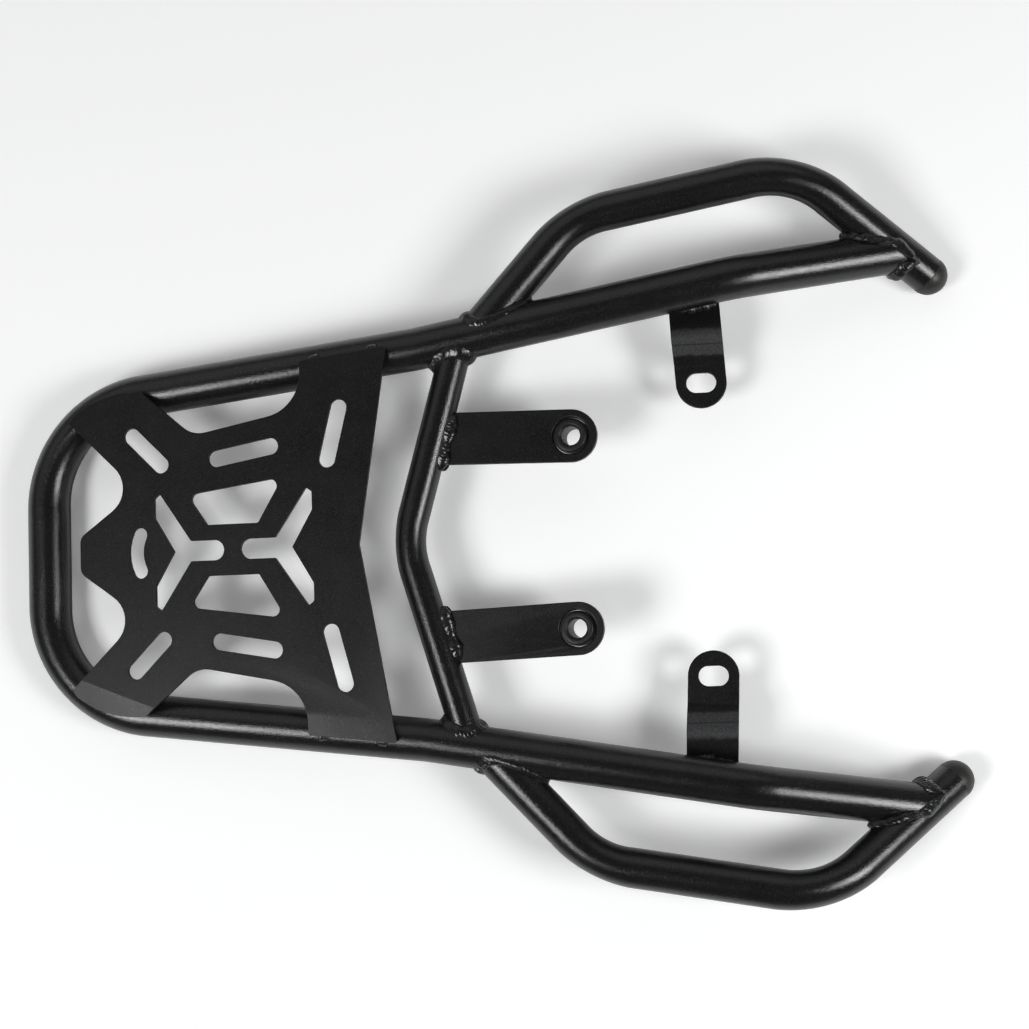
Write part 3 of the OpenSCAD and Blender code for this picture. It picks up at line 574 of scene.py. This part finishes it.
def run_bead(middle, run, out, up, section, length, seed, neck=0.0):
    """Grid of a straight bead. section holds the toe on the first face, the crown, the toe on
    the second face and the root, as (out, up). A quadratic curve through the first three is
    shrunk towards the root by an ellipse at the ends of the run, by a random swelling and by a
    neck in its middle, and scales are raised on it."""
    s = np.linspace(-length / 2, length / 2, int(length * 6))
    full = np.sqrt(np.maximum(0, 1 - np.abs(2 * s / length) ** 4))
    size = full * (1 + 0.12 * wander(s, seed)) * (1 - neck * np.exp(-((s / 3.0) ** 2)))
    toe_a, crown_at, toe_b, root = np.asarray(section, float)
    curve = curved(toe_a, crown_at, toe_b, over_bead[:, None])
    flat = root + size[:, None, None] * (curve - root)
    lift = scale_lift(s, 0.5, 2.2, 1.3, 0.4, 0.5, seed)
    flat = flat + (lift * full[:, None])[..., None] * unit(crown_at - root)
    flat = np.concatenate([flat, np.repeat(root[None, None], len(s), 0)], 1)
    return laid_down(middle + s[:, None, None] * run + flat[..., :1] * out + flat[..., 1:] * up)


loop_out = unit(np.cross(loop_way, upwards))
for name, hand, hold in hands:
    root, along, across, square, reach = tab_place(hand)
    run = unit(cross_way - (cross_way @ square) * square)
    seed = 100 + 30 * (hand < 0)
    above, below = (
        run_bead(hold(root), hold(run), hold(np.cross(run, square)), hold(square * up),
                 tab_section, tab_run, seed + k, neck=0.3)
        for k, up in ((0, 1), (5, -1))
    )
    grid_piece(f"{name}_tab_beads", [above, below], [f"{name}_tab_weld"], bead_coat)
    loop_y = between(shoulder, knee, slot_x)[1]
    inward = loop_y - slot_half - hand * mount_offset
    middle = between(shoulder, knee, slot_x - np.tan(strap_skew) * inward)
    bead = run_bead(hold(middle), hold(loop_way), hold(loop_out), upwards, bracket_section,
                    bracket_run, seed + 10)
    grid_piece(f"{name}_bracket_bead", bead, [f"{name}_bracket_weld"], bead_coat)

side_way = unit(shoulder - tail_corner)
side_out = np.array([-side_way[1], side_way[0], 0])
tacks = []
for x in tack_x:
    middle = between(tail_corner, shoulder, x) + [0, tack_over / side_way[0], loop_r]
    for name, hand, hold in hands:
        tacks.append(run_bead(hold(middle), hold(side_way), hold(side_out), upwards, tack_section,
                              tack_run, 170 + 7 * len(tacks)))
grid_piece("plate_tacks", tacks, ["plate_tack_welds"], bead_coat)

# Studio. The rack lies on a white laminate table in a pale room. A small soft box stands low on
# the right and a larger one further off on the left, both on the near side, and a wide
# reflector hangs level over the far side.
table_half = 6.0
walls_level, top_level = 0.25, 0.05


def white_table():
    """Matt white laminate. What the camera sees of it is lifted towards white, a little at the
    rack and more with the distance from it, so that the table runs out into a white room."""
    material = bpy.data.materials.new("white_table")
    material.use_nodes = True
    tree = material.node_tree
    shader = tree.nodes["Principled BSDF"]
    place = tree.nodes.new("ShaderNodeTexCoord").outputs["Object"]
    seen = tree.nodes.new("ShaderNodeLightPath").outputs["Is Camera Ray"]
    reach = wired(tree, "VectorMath", {0: place}, "Value", operation="LENGTH")
    lift = maths(tree, "MULTIPLY", seen, spread(tree, reach, 0.5, 2.5, 0.18, 0.85))
    tree.links.new(lift, shader.inputs["Emission Strength"])
    shader.inputs["Emission Color"].default_value = (1, 1, 1, 1)
    shader.inputs["Base Color"].default_value = (0.95, 0.955, 0.96, 1)
    shader.inputs["Roughness"].default_value = 0.8
    shader.inputs["Specular IOR Level"].default_value = 0.2
    return material


def soft_box(name, place, size, watts):
    """A square lamp at place, in metres, turned towards the middle of the rack."""
    data = bpy.data.lights.new(name, "AREA")
    data.shape = "SQUARE"
    data.size = size
    data.energy = watts
    lamp = bpy.data.objects.new(name, data)
    bpy.context.scene.collection.objects.link(lamp)
    lamp.location = place
    lamp.rotation_mode = "QUATERNION"
    lamp.rotation_quaternion = (-lamp.location).to_track_quat("-Z", "Y")
    lamp.visible_camera = False
    return lamp


def room_light():
    """A room that is pale at the walls and dark overhead: the light falls off from the horizon
    with the fourth power of one less the height of its direction. The camera sees it white."""
    world = bpy.data.worlds.new("room")
    world.use_nodes = True
    tree = world.node_tree
    way = tree.nodes.new("ShaderNodeTexCoord").outputs["Generated"]
    height = wired(tree, "SeparateXYZ", {"Vector": way}, "Z")
    fall = maths(tree, "POWER", maths(tree, "SUBTRACT", 1.0, height), 4.0)
    level = maths(tree, "MULTIPLY_ADD", fall, walls_level, top_level)
    seen = tree.nodes.new("ShaderNodeLightPath").outputs["Is Camera Ray"]
    background = tree.nodes["Background"]
    background.inputs["Color"].default_value = (1, 1, 1, 1)
    tree.links.new(maths(tree, "MAXIMUM", seen, level), background.inputs["Strength"])
    return world


corner_signs = ((-1, -1), (1, -1), (1, 1), (-1, 1))
table_corners = [(x * table_half, y * table_half, 0) for x, y in corner_signs]
table_mesh = bpy.data.meshes.new("table")
table_mesh.from_pydata(table_corners, [], [(0, 1, 2, 3)])
table_mesh.materials.append(white_table())
table = bpy.data.objects.new("table", table_mesh)
bpy.context.scene.collection.objects.link(table)

soft_box("right_box", (1.0, -0.33, 0.94), 0.47, 10.2)
soft_box("left_box", (-0.94, -0.58, 1.39), 0.56, 14.8)
reflector = soft_box("reflector", (-0.66, 1.78, 1.28), 4.0, 12.5)
reflector.data.shape = "RECTANGLE"
reflector.data.size_y = 2.6
reflector.rotation_mode = "XYZ"
reflector.rotation_euler = (0, 0, np.radians(20.4))

bpy.context.scene.world = room_light()
bpy.context.scene.view_settings.view_transform = "Standard"

# Camera. It looks down from a metre up, a little to the front right of the rack's middle, turned
# towards it as in the photograph.
camera_data = bpy.data.cameras.new("camera")
camera_data.sensor_width = 36
camera_data.lens = 57.47
camera = bpy.data.objects.new("camera", camera_data)
bpy.context.scene.collection.objects.link(camera)
camera.location = (0.08197, -0.05366, 0.99696)
camera.rotation_euler = np.radians((3.9114, 3.8980, -1.9604))
bpy.context.scene.camera = camera
